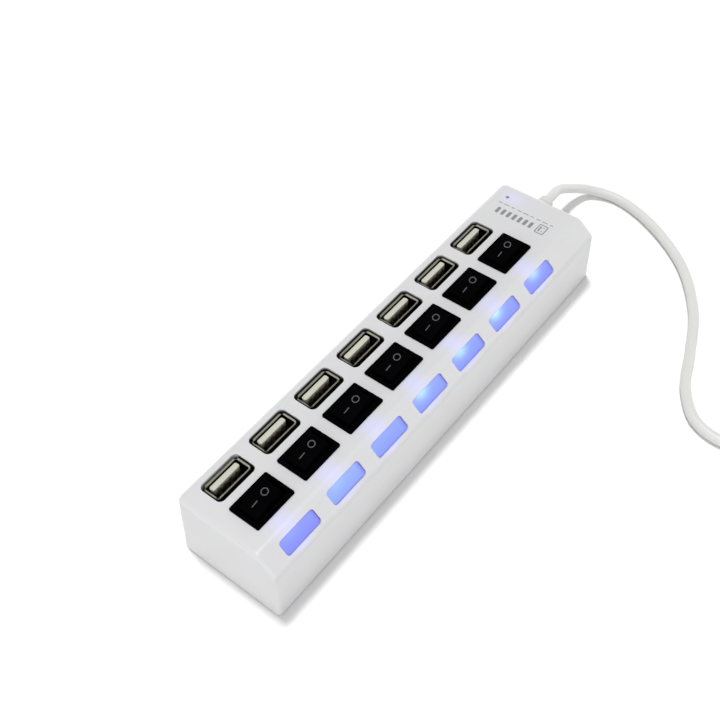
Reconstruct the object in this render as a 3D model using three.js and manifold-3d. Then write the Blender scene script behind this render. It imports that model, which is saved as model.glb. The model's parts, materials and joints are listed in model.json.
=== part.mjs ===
// A desktop USB hub with seven vertical sockets, a rocker switch and a light window for each one.
//
// Millimetres, +Z up. The origin is the middle of the casing's underside. +X runs along the casing
// towards the cable, +Y towards the row of sockets, -Y towards the row of light windows.

import * as THREE from "three";
import { mergeVertices } from "three/addons/utils/BufferGeometryUtils.js";
import Module from "manifold-3d";

const wasm = await Module();
wasm.setup();

// ---------------------------------------------------------------- driving dimensions

const PORTS = 7;
const PITCH = 19.5;
const FIRST_PORT_X = -66;

const casing = {
  length: 160, // at the top; the draft makes the underside longer
  width: 36,
  height: 25,
  wall: 1.8,
  foot: 0.3, // how far the walls stop above the desk
  endDraft: 1.0,
  sideDraft: 0.5,
  endFillet: 0.8,
  nearCorner: 2.6, // plan radius of the corner by the first socket
};
const facet = { topY: -12.6, bottomZ: 19.8, topRadius: 3.0, bottomRadius: 2.4 };

const port = {
  y: 11.5,
  mouthZ: 24.55,
  openX: 12.5,
  openY: 5.1,
  wall: 0.3,
  lipX: 14.0,
  lipY: 6.8,
  lipDepth: 0.45,
  tongueX: 11.1,
  tongueY: 1.84,
  tongueGap: 0.6, // between the tongue and the wall behind it
  tongueDrop: 0.4,
  baseHeight: 3.2,
};
// The opening in the casing round each socket, wider than its lips on the side of the switches.
const portHole = { y: 11.05, sizeX: 14.8, sizeY: 8.2, radius: 1.7 };
const rockerSwitch = {
  y: -1.65,
  bezelX: 15.1,
  bezelY: 10.9,
  bezelHeight: 0.75,
  bodyX: 13.6,
  bodyY: 8.8,
  openX: 12.6,
  openY: 7.6,
  bottomZ: 14.4,
  floor: 1.2,
};
const rockerTop = {
  pivotZ: 23.9,
  tilt: 12, // degrees to each side of level
  half: 5.15,
  halfWidth: 3.5,
  valley: 3.55, // height of the middle above the pivot
  end: 3.85, // height of the two raised ends above the pivot
  plunger: 6.2, // depth of the plunger's tip below the pivot
  pinRadius: 0.9,
  pinReach: 4.1,
};
// The tipping lever inside each switch lies on a fulcrum under the rocker's plunger.
const lever = { pivotZ: 16.6, tilt: 6, half: 4.6, thick: 0.5, lift: 0.4, width: 2.6 };
const window = { length: 13.8, height: 4.85, along: 3.54, radius: 1.0, recess: 0.25 };
const statusLight = { dx: -1.5, y: -12.2, bodyZ: 3.0 }; // dx from the middle of its window
const powerLight = { x: 74.4, y: 12.6, bodyZ: 6.6, pinhole: 0.6 };
const board = { topZ: 10.7, thickness: 1.6, x0: -73.6, x1: 77.5, halfWidth: 15.6 };

const cable = { radius: 1.7, y: 4.6, z: 17.6 };
const boot = { neck: 2.8, flange: 4.2, root: 3.1, tip: 2.6, groove: 0.35, ribs: 3, outside: 7.0 };
const plug = {
  gripLength: 25,
  gripWidth: 15.6,
  gripHeight: 7.8,
  shellX: 12,
  shellY: 4.5,
  shellReach: 12.2, // how far the metal shell stands out of the grip
  shellInside: 6,
  backX: 158, // where the back of the grip lies on the desk
  backY: -66,
  heading: 28, // degrees from +X towards +Y
};

const GAP = 0.25; // between pieces that fit into one another
const SEAT = 0.1; // between a piece and the flat face it stands on

const topBosses = [
  { x: -76.0, y: 13.4 },
  { x: -76.0, y: -13.4 },
  { x: 67.0, y: 13.4 },
  { x: 67.0, y: -13.4 },
];
const bossRadius = 2.2;
const screw = { shaftRadius: 0.85, headRadius: 2.1, headHeight: 1.2, headZ: 0.3, length: 10 };

const floorZ = cable.radius + 0.05; // the cable's axis where it lies on the desk
const wallOutX = casing.length / 2 + casing.endDraft * (1 - cable.z / casing.height);

// ---------------------------------------------------------------- finishes

function finish(color, roughness, metalness = 0) {
  return new THREE.MeshStandardMaterial({ color, roughness, metalness });
}
const whitePlastic = () => finish(0xe9e9ee, 0.25);
const blackPlastic = () => finish(0x08080a, 0.2);
const creamPlastic = () => finish(0xe2dcc6, 0.5);
const violetLens = () => finish(0x7a86ff, 0.35);
const clearLens = () => finish(0xdfe6f5, 0.1);
const nickel = () => finish(0xb8b4a8, 0.25, 1);
const copper = () => finish(0xc07a45, 0.35, 1);
const steel = () => finish(0xa8a9ad, 0.35, 1);
const greenBoard = () => finish(0x1f6b3a, 0.5);
const chipResin = () => finish(0x1a1a1c, 0.6);
const whiteVinyl = () => finish(0xe4e4e0, 0.45);

// ---------------------------------------------------------------- solids and cuts

function solid(geometry) {
  const bare = geometry.clone();
  bare.deleteAttribute("normal");
  bare.deleteAttribute("uv");
  const merged = mergeVertices(bare, 1e-4);
  return new wasm.Manifold(
    new wasm.Mesh({
      numProp: 3,
      vertProperties: new Float32Array(merged.attributes.position.array),
      triVerts: new Uint32Array(merged.index.array),
    }),
  );
}

function geometryOf(manifold) {
  const mesh = manifold.getMesh();
  const geometry = new THREE.BufferGeometry();
  geometry.setAttribute("position", new THREE.BufferAttribute(new Float32Array(mesh.vertProperties), 3));
  geometry.setIndex(new THREE.BufferAttribute(new Uint32Array(mesh.triVerts), 1));
  geometry.computeVertexNormals();
  return geometry;
}

const join = (...parts) => parts.map(asSolid).reduce((a, b) => a.add(b));
const cut = (from, ...tools) => tools.map(asSolid).reduce((a, b) => a.subtract(b), asSolid(from));
const overlap = (a, b) => asSolid(a).intersect(asSolid(b));
const asSolid = (shape) => (shape.isBufferGeometry ? solid(shape) : shape);

// ---------------------------------------------------------------- shape helpers

// A closed outline whose corners are rounded: each corner is [x, y, radius].
function roundedOutline(corners) {
  const shape = new THREE.Shape();
  corners.forEach(([x, y, radius], i) => {
    const [px, py] = corners[(i + corners.length - 1) % corners.length];
    const [nx, ny] = corners[(i + 1) % corners.length];
    const here = new THREE.Vector2(x, y);
    const back = new THREE.Vector2(px - x, py - y).normalize();
    const ahead = new THREE.Vector2(nx - x, ny - y).normalize();
    const setback = radius / Math.tan(back.angleTo(ahead) / 2);
    const start = here.clone().addScaledVector(back, setback);
    const end = here.clone().addScaledVector(ahead, setback);
    if (i === 0) shape.moveTo(start.x, start.y);
    else shape.lineTo(start.x, start.y);
    if (radius > 0) shape.quadraticCurveTo(x, y, end.x, end.y);
  });
  shape.closePath();
  return shape;
}

function rectangle(width, height, radius = 0) {
  const [w, h] = [width / 2, height / 2];
  return roundedOutline([
    [-w, -h, radius],
    [w, -h, radius],
    [w, h, radius],
    [-w, h, radius],
  ]);
}

const disc = (radius) => new THREE.Shape().absarc(0, 0, radius, 0, 2 * Math.PI);

// Extrudes an outline upwards from z0 to z1, with its edges eased by bevel.
function prism(shape, z0, z1, { bevel = 0, segments = 2, curveSegments = 2 } = {}) {
  const geometry = new THREE.ExtrudeGeometry(shape, {
    depth: z1 - z0 - 2 * bevel,
    curveSegments,
    bevelEnabled: bevel > 0,
    bevelThickness: bevel,
    bevelSize: bevel,
    bevelOffset: -bevel,
    bevelSegments: segments,
  });
  geometry.translate(0, 0, z0 + bevel);
  return geometry;
}

// Turns an outline drawn in (Y, Z) and extruded along its own third axis so that it runs along X.
function alongX(geometry) {
  const turn = new THREE.Matrix4().makeBasis(
    new THREE.Vector3(0, 1, 0),
    new THREE.Vector3(0, 0, 1),
    new THREE.Vector3(1, 0, 0),
  );
  return geometry.applyMatrix4(turn);
}

// Turns an outline drawn in (X, Z) so that its thickness runs along Y, centred on Y = 0.
function alongY(shape, width, options = {}) {
  return prism(shape, -width / 2, width / 2, options).rotateX(Math.PI / 2);
}

function box(x0, x1, y0, y1, z0, z1) {
  const geometry = new THREE.BoxGeometry(x1 - x0, y1 - y0, z1 - z0);
  return geometry.translate((x0 + x1) / 2, (y0 + y1) / 2, (z0 + z1) / 2);
}

// An upright cylinder.
function post(x, y, z0, z1, radius, segments = 12) {
  const geometry = new THREE.CylinderGeometry(radius, radius, z1 - z0, segments);
  return geometry.rotateX(Math.PI / 2).translate(x, y, (z0 + z1) / 2);
}

// A turned solid: profile points are [radius, height] from the axis, up the side and back to the axis.
function turned(profile, segments = 16) {
  const points = profile.map(([r, h]) => new THREE.Vector2(r, h));
  return new THREE.LatheGeometry(points, segments).rotateX(Math.PI / 2);
}

// Widens the far (upper) end of a geometry by the given factors.
function flare(geometry, z0, z1, factorX, factorY) {
  const position = geometry.attributes.position;
  for (let i = 0; i < position.count; i += 1) {
    const t = (position.getZ(i) - z0) / (z1 - z0);
    position.setX(i, position.getX(i) * (1 + t * (factorX - 1)));
    position.setY(i, position.getY(i) * (1 + t * (factorY - 1)));
  }
  return geometry;
}

// ---------------------------------------------------------------- the assembly

const hub = new THREE.Group();

function add(name, shape, material, place = {}) {
  const geometry = shape.isBufferGeometry ? shape : geometryOf(shape);
  const mesh = new THREE.Mesh(geometry, material);
  mesh.name = name;
  mesh.position.set(place.x ?? 0, place.y ?? 0, place.z ?? 0);
  mesh.rotation.y = THREE.MathUtils.degToRad(place.tiltY ?? 0);
  hub.add(mesh);
  return mesh;
}

const portX = (i) => FIRST_PORT_X + i * PITCH;
const eachPort = (build) => Array.from({ length: PORTS }, (_, i) => build(portX(i), i + 1));

// ---------------------------------------------------------------- casing

// The walls lean outwards towards the underside.
function draft(geometry) {
  const position = geometry.attributes.position;
  for (let i = 0; i < position.count; i += 1) {
    const drop = 1 - position.getZ(i) / casing.height;
    const [x, y] = [position.getX(i), position.getY(i)];
    position.setX(i, x * (1 + (drop * 2 * casing.endDraft) / casing.length));
    position.setY(i, y * (1 + (drop * 2 * casing.sideDraft) / casing.width));
  }
  return geometry;
}

// The cross-section in (Y, Z), moved inwards by an inset.
function section(inset, bottomZ, radius) {
  const side = casing.width / 2 - inset;
  const top = casing.height - inset;
  const run = casing.width / 2 + facet.topY;
  const rise = casing.height - facet.bottomZ;
  const slope = Math.hypot(run, rise);
  const frontZ = facet.bottomZ - (inset * (slope - rise)) / run;
  const topY = facet.topY + (inset * (slope - run)) / rise;
  return roundedOutline([
    [-side, bottomZ, 0],
    [side, bottomZ, 0],
    [side, top, radius],
    [topY, top, radius ? facet.topRadius : 0],
    [-side, frontZ, radius ? facet.bottomRadius : 0],
  ]);
}

// Facet axes: where a point along the slope and out from it lies.
const facetDown = new THREE.Vector3(
  0,
  -casing.width / 2 - facet.topY,
  facet.bottomZ - casing.height,
).normalize();
const facetOut = new THREE.Vector3(0, facetDown.z, -facetDown.y).normalize();

// Lays an upright piece (X across, Y up the slope, Z out of it) on the facet at a given port.
function onFacet(geometry, x) {
  const up = facetDown.clone().negate();
  const turn = new THREE.Matrix4().makeBasis(new THREE.Vector3(1, 0, 0), up, facetOut);
  const centre = new THREE.Vector3(x, facet.topY, casing.height).addScaledVector(facetDown, window.along);
  return geometry.applyMatrix4(turn).translate(centre.x, centre.y, centre.z);
}

const windowShape = (shrink) =>
  rectangle(window.length - 2 * shrink, window.height - 2 * shrink, window.radius - shrink);

function topShell() {
  const half = casing.length / 2;
  const side = casing.width / 2;
  const [backEdge, cornerRadius, tall] = [1.3, 0.8, 5];
  const eased = { bevel: casing.endFillet, segments: 3, curveSegments: 4 };
  const outerBlock = alongX(prism(section(0, casing.foot, backEdge), -half, half, eased));
  const corners = roundedOutline([
    [-half, -side, cornerRadius],
    [half, -side, cornerRadius],
    [half, side, cornerRadius],
    [-half, side, casing.nearCorner],
  ]);
  const plan = prism(corners, -tall, casing.height + tall, { curveSegments: 6 });
  const outer = overlap(draft(outerBlock), draft(plan));

  const innerHalf = half - casing.wall;
  const hollow = draft(alongX(prism(section(casing.wall, -3, 0), -innerHalf, innerHalf)));
  const bossFoot = 3.4;
  const bosses = topBosses.map(({ x, y }) => post(x, y, bossFoot, casing.height, bossRadius));
  const pilotRadius = screw.shaftRadius + 0.2;
  const pilots = topBosses.map(({ x, y }) => post(x, y, 1, bossFoot + screw.length, pilotRadius, 8));

  const cutouts = eachPort((x) => [
    prism(rectangle(portHole.sizeX, portHole.sizeY, portHole.radius), 20, 30).translate(x, portHole.y, 0),
    prism(
      rectangle(rockerSwitch.bodyX + 2 * GAP, rockerSwitch.bodyY + 2 * GAP, 0.4),
      20,
      30,
    ).translate(x, rockerSwitch.y, 0),
    onFacet(prism(windowShape(0), -4, 4), x),
  ]).flat();
  const pinhole = post(powerLight.x, powerLight.y, 20, 30, powerLight.pinhole, 10);
  const bootHole = post(0, 0, 0, 12, boot.neck + GAP, 18)
    .rotateY(Math.PI / 2)
    .translate(half - 6, cable.y, cable.z);

  return cut(outer, cut(hollow, ...bosses), ...pilots, ...cutouts, pinhole, bootHole);
}

function bottomCover() {
  const clearance = 0.4;
  const halfX = casing.length / 2 + casing.endDraft - casing.wall - clearance;
  const halfY = casing.width / 2 + casing.sideDraft - casing.wall - clearance;
  const plate = prism(rectangle(2 * halfX, 2 * halfY, 1), 0, casing.wall);
  const pads = topBosses.map(({ x, y }) => post(x, y, 0.5, 3.3, 2.7));
  const [restSpacing, restY, restRadius] = [59, 12, 1.8];
  const rests = [-1, 0, 1].flatMap((step) =>
    [-restY, restY].map((y) =>
      post(step * restSpacing - 1, y, 1, board.topZ - board.thickness - SEAT, restRadius),
    ),
  );
  const recess = topBosses.map(({ x, y }) =>
    post(x, y, -1, screw.headZ + screw.headHeight + 0.1, screw.headRadius + 0.2),
  );
  const holes = topBosses.map(({ x, y }) => post(x, y, -1, 5, screw.shaftRadius + 0.25, 8));
  return cut(join(plate, ...pads, ...rests), ...recess, ...holes);
}

function caseScrew() {
  const { shaftRadius, headRadius, headHeight, length } = screw;
  const body = turned(
    [
      [0, 0],
      [headRadius * 0.8, 0],
      [headRadius, headHeight * 0.4],
      [headRadius, headHeight],
      [shaftRadius, headHeight],
      [shaftRadius, headHeight + length - 1.2],
      [0, headHeight + length],
    ],
    16,
  );
  const slot = 0.45;
  const across = box(-1.3, 1.3, -slot / 2, slot / 2, -1, headHeight * 0.6);
  const along = box(-slot / 2, slot / 2, -1.3, 1.3, -1, headHeight * 0.6);
  return cut(body, across, along);
}

// ---------------------------------------------------------------- sockets

function portShell() {
  const height = port.mouthZ - board.topZ - SEAT;
  const bend = height - port.lipDepth;
  const [openX, openY] = [port.openX, port.openY];
  const [outX, outY] = [openX + 2 * port.wall, openY + 2 * port.wall];
  const mouth = (x, y, toX, toY, radius, z0, z1) =>
    flare(prism(rectangle(x, y, radius), z0, z1), z0, z1, toX / x, toY / y);
  const sleeve = prism(rectangle(outX, outY, 0.7), 0, bend + 0.01);
  const lips = mouth(outX, outY, port.lipX, port.lipY, 0.7, bend, height);
  const bore = prism(rectangle(openX, openY, 0.4), -1, bend + 0.01);
  const lipBore = mouth(openX, openY, port.lipX - 0.5, port.lipY - 0.5, 0.4, bend, height + 0.01);
  return cut(join(sleeve, lips), bore, lipBore);
}

function portTongue() {
  const clearance = 0.2;
  const top = port.mouthZ - port.tongueDrop - board.topZ - SEAT;
  const y1 = port.openY / 2 - port.tongueGap;
  const y0 = y1 - port.tongueY;
  const [baseX, baseY] = [port.openX / 2 - clearance, port.openY / 2 - clearance];
  const base = box(-baseX, baseX, -baseY, baseY, 0, port.baseHeight);
  const blade = prism(rectangle(port.tongueX, port.tongueY, 0.4), 1, top, { bevel: 0.2, segments: 1 });
  return join(base, blade.translate(0, (y0 + y1) / 2, 0));
}

// ---------------------------------------------------------------- switches

// Local origin: on the switch's centre line, at the casing's top face.
function switchHousing() {
  const { bezelX, bezelY, bezelHeight, bodyX, bodyY, openX, openY, floor } = rockerSwitch;
  const bottom = rockerSwitch.bottomZ - casing.height;
  const pivot = rockerTop.pivotZ - casing.height;
  const bezel = prism(rectangle(bezelX, bezelY, 0.5), SEAT, SEAT + bezelHeight + 0.3);
  const easedBezel = overlap(
    bezel,
    prism(rectangle(bezelX, bezelY, 0.5), SEAT - 1, SEAT + bezelHeight, { bevel: 0.3, segments: 1 }),
  );
  const body = prism(rectangle(bodyX, bodyY, 0.3), bottom, SEAT + 0.2);
  const well = prism(rectangle(openX, openY, 0.3), bottom + floor, 3);
  const fulcrum = box(-0.5, 0.5, -1.6, 1.6, bottom + 0.5, lever.pivotZ - casing.height - GAP);
  const axle = alongY(disc(rockerTop.pinRadius + 0.15), bodyY + 2, { curveSegments: 5 });
  const bladeFoot = board.topZ + SEAT - casing.height;
  const blades = [-4.6, 0, 4.6].map((x) => box(x - 0.3, x + 0.3, -1, 1, bladeFoot, bottom + 0.5));
  return join(cut(join(easedBezel, body), well, axle.translate(0, 0, pivot)), fulcrum, ...blades);
}

// Local origin: on the rocker's pivot axis, with the rocker level.
function rocker() {
  const { half, valley, end, halfWidth, plunger: tip, pinRadius, pinReach } = rockerTop;
  const profile = roundedOutline([
    [-half, 0.6, 0.4],
    [-2.4, -1.6, 0.5],
    [2.4, -1.6, 0.5],
    [half, 0.6, 0.4],
    [half, end, 0.6],
    [0, valley, 12],
    [-half, end, 0.6],
  ]);
  const body = alongY(profile, 2 * halfWidth, { bevel: 0.25, segments: 1 });
  const pins = alongY(disc(pinRadius), 2 * pinReach, { curveSegments: 5 });
  const plunger = turned(
    [
      [0, -tip],
      [0.7, 0.25 - tip],
      [1.0, 0.9 - tip],
      [1.0, -1],
      [0, -1],
    ],
    8,
  );
  return join(body, pins, plunger);
}

// A shallow V of strip. Local origin: on its tipping axis.
function contactLever() {
  const { half, thick, lift, width } = lever;
  const profile = roundedOutline([
    [0, 0, 0],
    [half, lift, 0],
    [half, lift + thick, 0],
    [0, thick, 0],
    [-half, lift + thick, 0],
    [-half, lift, 0],
  ]);
  return alongY(profile, width);
}

// ---------------------------------------------------------------- lights

// Seven lenses that fill the windows, joined by one strip behind the sloping wall.
function lightStrip() {
  const strip = { depth: 1.0, height: 5.4, overhang: 0.6 };
  const back = -casing.wall - GAP;
  const length = (PORTS - 1) * PITCH + window.length + 2 * strip.overhang;
  const rail = prism(rectangle(length, strip.height), back - strip.depth, back);
  const middle = (portX(0) + portX(PORTS - 1)) / 2;
  const lenses = eachPort((x) => {
    const lens = prism(windowShape(0.12), back - 0.5, -window.recess);
    return onFacet(lens, x);
  });
  return join(onFacet(rail, middle), ...lenses);
}

// A 3 mm lamp on two straight legs. Local origin: on the board under it.
function lamp(bodyZ) {
  const dome = turned(
    [
      [0, 0],
      [1.9, 0],
      [1.9, 0.9],
      [1.5, 0.9],
      [1.5, 3.3],
      [1.3, 4.05],
      [0.75, 4.6],
      [0, 4.8],
    ],
    10,
  ).translate(0, 0, bodyZ);
  const legs = [-1.27, 1.27].map((x) => box(x - 0.25, x + 0.25, -0.25, 0.25, SEAT, bodyZ + 0.5));
  return join(dome, ...legs);
}

// ---------------------------------------------------------------- board

function mainBoard() {
  const { x0, x1, halfWidth, topZ, thickness } = board;
  const sheet = prism(rectangle(x1 - x0, 2 * halfWidth, 0.8), topZ - thickness, topZ);
  const holes = topBosses
    .filter(({ x }) => x > 0)
    .map(({ x, y }) => post(x, y, 5, 15, bossRadius + 0.4));
  return cut(sheet.translate((x0 + x1) / 2, 0, 0), ...holes);
}

// A flat chip with a row of gull-wing leads on its two long sides. Local origin: on the board.
function chip(length, width, leads) {
  const [standoff, height, reach] = [0.2, 1.6, 1.0];
  const body = prism(rectangle(length, width, 0.3), standoff, height, { bevel: 0.12, segments: 1 });
  const step = (length - 1.2) / (leads - 1);
  const bar = (i) => {
    const x = -length / 2 + 0.6 + i * step;
    return box(x - 0.18, x + 0.18, -width / 2 - reach, width / 2 + reach, SEAT, SEAT + 0.45);
  };
  return join(body, ...Array.from({ length: leads }, (_, i) => bar(i)));
}

function crystal() {
  const can = prism(rectangle(10.2, 3.6, 1.7), 0.5, 3.6, { bevel: 0.3, segments: 2 });
  const flange = prism(rectangle(11, 4.4, 2.1), SEAT, 0.8);
  return join(can, flange);
}

function capacitor() {
  return turned(
    [
      [0, SEAT],
      [2.4, SEAT],
      [2.5, 0.5],
      [2.5, 0.9],
      [2.25, 1.2],
      [2.5, 1.5],
      [2.5, 7.0],
      [2.2, 7.4],
      [0, 7.4],
    ],
    14,
  );
}

// ---------------------------------------------------------------- cable

// The cable leaves the casing, drops to the desk, swings round the end of the hub and runs to its plug.
function cablePath() {
  const heading = THREE.MathUtils.degToRad(plug.heading);
  const behindPlug = (distance, z) =>
    new THREE.Vector3(
      plug.backX - distance * Math.cos(heading),
      plug.backY - distance * Math.sin(heading),
      z,
    );
  const points = [
    new THREE.Vector3(74, cable.y, cable.z),
    new THREE.Vector3(82, cable.y, cable.z),
    new THREE.Vector3(89.5, cable.y + 0.1, cable.z - 0.1),
    new THREE.Vector3(98, 6.2, 14.4),
    new THREE.Vector3(108, 6.8, 7.8),
    new THREE.Vector3(116.2, 3.4, 3.2),
    new THREE.Vector3(119.6, -6, floorZ),
    new THREE.Vector3(116.2, -20.5, floorZ),
    new THREE.Vector3(103.4, -41.3, floorZ),
    new THREE.Vector3(86, -55.4, floorZ),
    new THREE.Vector3(70, -62.6, floorZ),
    new THREE.Vector3(54.6, -69, floorZ),
    new THREE.Vector3(44.8, -78, floorZ),
    new THREE.Vector3(43.6, -90, floorZ),
    new THREE.Vector3(53, -102, floorZ),
    new THREE.Vector3(72, -106, floorZ),
    behindPlug(58, floorZ),
    behindPlug(34, floorZ + 0.9),
    behindPlug(12, plug.gripHeight / 2),
    behindPlug(2, plug.gripHeight / 2),
  ];
  return new THREE.CatmullRomCurve3(points, false, "centripetal");
}

function cableSolid() {
  const options = { steps: 76, curveSegments: 4, extrudePath: cablePath() };
  return new THREE.ExtrudeGeometry(disc(cable.radius), options);
}

// A moulded sleeve with ribs. Local origin: on the cable's axis, at the outer face of the end wall.
function strainRelief() {
  const { neck, flange, root, tip, groove, ribs, outside } = boot;
  const bore = cable.radius + GAP;
  const inside = -casing.wall - 0.4;
  const flangeEnd = inside - 1.4;
  const ribStep = outside / ribs;
  const profile = [
    [bore, flangeEnd],
    [flange, flangeEnd],
    [flange, inside],
    [neck, inside],
    [neck, GAP],
  ];
  for (let i = 0; i < ribs; i += 1) {
    const r = root + ((tip - root) * i) / (ribs - 1);
    const z = GAP + i * ribStep;
    profile.push([r, z], [r, z + ribStep * 0.6]);
    if (i < ribs - 1) profile.push([r - groove, z + ribStep * 0.7], [r - groove, z + ribStep]);
  }
  profile.push([tip, GAP + outside], [bore, GAP + outside], [bore, flangeEnd]);
  return turned(profile, 18).rotateY(Math.PI / 2);
}

// ---------------------------------------------------------------- cable plug
// Local frame of the plug's pieces: +X towards the contacts, origin at the back of the grip, on its axis.

function plugGrip() {
  const { gripLength, gripWidth, gripHeight, shellX, shellY, shellInside } = plug;
  const eased = { bevel: 0.8, segments: 2, curveSegments: 3 };
  const block = alongX(prism(rectangle(gripWidth, gripHeight, 2.2), 0, gripLength, eased));
  const waist = [-1, 1].map((side) =>
    post(gripLength * 0.42, side * (gripWidth / 2 + 19.2), -9, 9, 20, 36),
  );
  const tail = turned(
    [
      [0, -7],
      [2.4, -7],
      [2.6, -6.6],
      [3.3, 0.5],
      [0, 0.5],
    ],
    20,
  ).rotateY(Math.PI / 2);
  const bore = post(0, 0, -9, 5, cable.radius + 0.2, 12).rotateY(Math.PI / 2);
  const pocketStart = gripLength - shellInside - 0.5;
  const pocket = alongX(
    prism(rectangle(shellX + 2 * GAP, shellY + 2 * GAP, 0.5), pocketStart, gripLength + 3),
  );
  return cut(join(cut(block, ...waist), tail), bore, pocket);
}

function plugShell() {
  const { gripLength, shellX, shellY, shellReach, shellInside } = plug;
  const [x0, x1] = [gripLength - shellInside, gripLength + shellReach];
  const sleeve = alongX(prism(rectangle(shellX, shellY, 0.5), x0, x1));
  const bore = alongX(prism(rectangle(shellX - 0.6, shellY - 0.6, 0.3), x0 - 1, x1 + 1));
  const latchX = gripLength + 6.2;
  const latches = [-2.3, 2.3].map((y) => box(latchX - 1.1, latchX + 1.1, y - 1, y + 1, -4, 4));
  return cut(sleeve, bore, ...latches);
}

function plugInsulator() {
  const { gripLength, shellX, shellY, shellReach, shellInside } = plug;
  const [half, low] = [shellX / 2 - 0.5, -shellY / 2 + 0.5];
  const back = gripLength - shellInside + 0.5;
  const bladeThickness = 1.75;
  const blade = box(back, gripLength + shellReach - 0.6, -half, half, low, low + bladeThickness);
  const block = box(back, gripLength - 1, -half, half, low, -low);
  return join(blade, block);
}

function addPlugPiece(name, shape, material) {
  const mesh = add(name, shape, material, { x: plug.backX, y: plug.backY, z: plug.gripHeight / 2 });
  mesh.rotation.z = THREE.MathUtils.degToRad(plug.heading);
}

// ---------------------------------------------------------------- put it together

add("top_shell", topShell(), whitePlastic());
add("bottom_cover", bottomCover(), whitePlastic());
topBosses.forEach(({ x, y }, i) => {
  add(`case_screw_${i + 1}`, caseScrew(), steel(), { x, y, z: screw.headZ });
});

add("main_board", mainBoard(), greenBoard());
[2, 5].forEach((n, i) => {
  const betweenSwitches = portX(n) - PITCH / 2;
  const place = { x: betweenSwitches, y: -1.5, z: board.topZ };
  add(`hub_chip_${i + 1}`, chip(8.6, 5.4, 8), chipResin(), place);
});
add("crystal", crystal(), steel(), { x: 66, y: -6, z: board.topZ });
add("capacitor", capacitor(), chipResin(), { x: 70.5, y: -0.6, z: board.topZ });

eachPort((x, n) => {
  const seat = board.topZ + SEAT;
  add(`port_shell_${n}`, portShell(), nickel(), { x, y: port.y, z: seat });
  add(`port_tongue_${n}`, portTongue(), creamPlastic(), { x, y: port.y, z: seat });
});

eachPort((x, n) => {
  const { y } = rockerSwitch;
  add(`switch_housing_${n}`, switchHousing(), blackPlastic(), { x, y, z: casing.height });
  add(`rocker_${n}`, rocker(), blackPlastic(), { x, y, z: rockerTop.pivotZ, tiltY: -rockerTop.tilt });
  add(`contact_lever_${n}`, contactLever(), copper(), { x, y, z: lever.pivotZ, tiltY: lever.tilt });
});

add("light_strip", lightStrip(), violetLens());
eachPort((x, n) => {
  const { dx, y, bodyZ } = statusLight;
  add(`status_led_${n}`, lamp(bodyZ), clearLens(), { x: x + dx, y, z: board.topZ });
});
add("power_led", lamp(powerLight.bodyZ), clearLens(), {
  x: powerLight.x,
  y: powerLight.y,
  z: board.topZ,
});

add("cable", cableSolid(), whiteVinyl());
add("strain_relief", strainRelief(), whiteVinyl(), { x: wallOutX, y: cable.y, z: cable.z });
addPlugPiece("plug_grip", plugGrip(), whiteVinyl());
addPlugPiece("plug_shell", plugShell(), nickel());
addPlugPiece("plug_tongue", plugInsulator(), creamPlastic());

export default hub;
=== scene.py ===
"""A white desktop USB hub: seven upright sockets, each with a rocker switch and a light window.

Shapes are worked out in millimetres in the CAD's frame (+X towards the cable, +Y towards the sockets,
+Z up) and turned into metres when a piece is made. Places come from the CAD nodes wherever a node
states them.
"""

import json
import math

import bmesh
import bpy
from mathutils import Matrix, Vector


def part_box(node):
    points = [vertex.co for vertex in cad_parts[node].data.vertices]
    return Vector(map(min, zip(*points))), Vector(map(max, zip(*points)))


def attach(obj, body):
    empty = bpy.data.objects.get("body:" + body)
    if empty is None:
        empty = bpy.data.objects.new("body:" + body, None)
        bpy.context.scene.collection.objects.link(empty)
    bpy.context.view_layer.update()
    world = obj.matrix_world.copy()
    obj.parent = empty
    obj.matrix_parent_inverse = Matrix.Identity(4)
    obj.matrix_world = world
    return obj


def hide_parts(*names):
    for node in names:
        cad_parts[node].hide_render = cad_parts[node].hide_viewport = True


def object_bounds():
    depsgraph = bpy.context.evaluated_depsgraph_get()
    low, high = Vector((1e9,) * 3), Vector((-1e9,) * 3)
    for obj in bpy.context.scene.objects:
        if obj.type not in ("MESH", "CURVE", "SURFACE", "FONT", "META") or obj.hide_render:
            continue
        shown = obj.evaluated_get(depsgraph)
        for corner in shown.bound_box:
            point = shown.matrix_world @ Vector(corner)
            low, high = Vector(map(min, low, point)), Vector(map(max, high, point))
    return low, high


MM = 0.001

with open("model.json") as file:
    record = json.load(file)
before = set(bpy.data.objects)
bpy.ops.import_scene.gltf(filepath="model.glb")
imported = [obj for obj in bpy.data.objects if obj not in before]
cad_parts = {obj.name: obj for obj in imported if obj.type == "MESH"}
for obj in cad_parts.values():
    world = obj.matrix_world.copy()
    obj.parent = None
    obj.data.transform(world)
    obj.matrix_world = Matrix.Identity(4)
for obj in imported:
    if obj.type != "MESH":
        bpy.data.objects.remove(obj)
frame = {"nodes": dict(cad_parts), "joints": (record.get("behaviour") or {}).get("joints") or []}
cad_low, cad_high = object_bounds()


def box_mm(node):
    low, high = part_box(node)
    return low / MM, high / MM


def middle_mm(node):
    low, high = box_mm(node)
    return (low + high) / 2


# ---------- sizes, in millimetres

PORTS = 7
port_x = [middle_mm(f"port_shell_{n}").x for n in range(1, PORTS + 1)]
PITCH = (port_x[-1] - port_x[0]) / (PORTS - 1)

# The casing. Its walls lean outwards towards the underside by the two drafts.
cover_low, cover_high = box_mm("bottom_cover")
shell_low, shell_high = box_mm("top_shell")
TOP = shell_high.z
FOOT = shell_low.z
END_DRAFT = 1.0
SIDE_DRAFT = 0.5
END_SLACK = 0.02
HALF_LENGTH = shell_high.x - END_DRAFT + END_SLACK
HALF_WIDTH = 18.0
WALL = 1.8

# The sloping face that carries the light windows.
FACET_TOP_Y = -12.6
FACET_LOW_Z = 19.8

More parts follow.
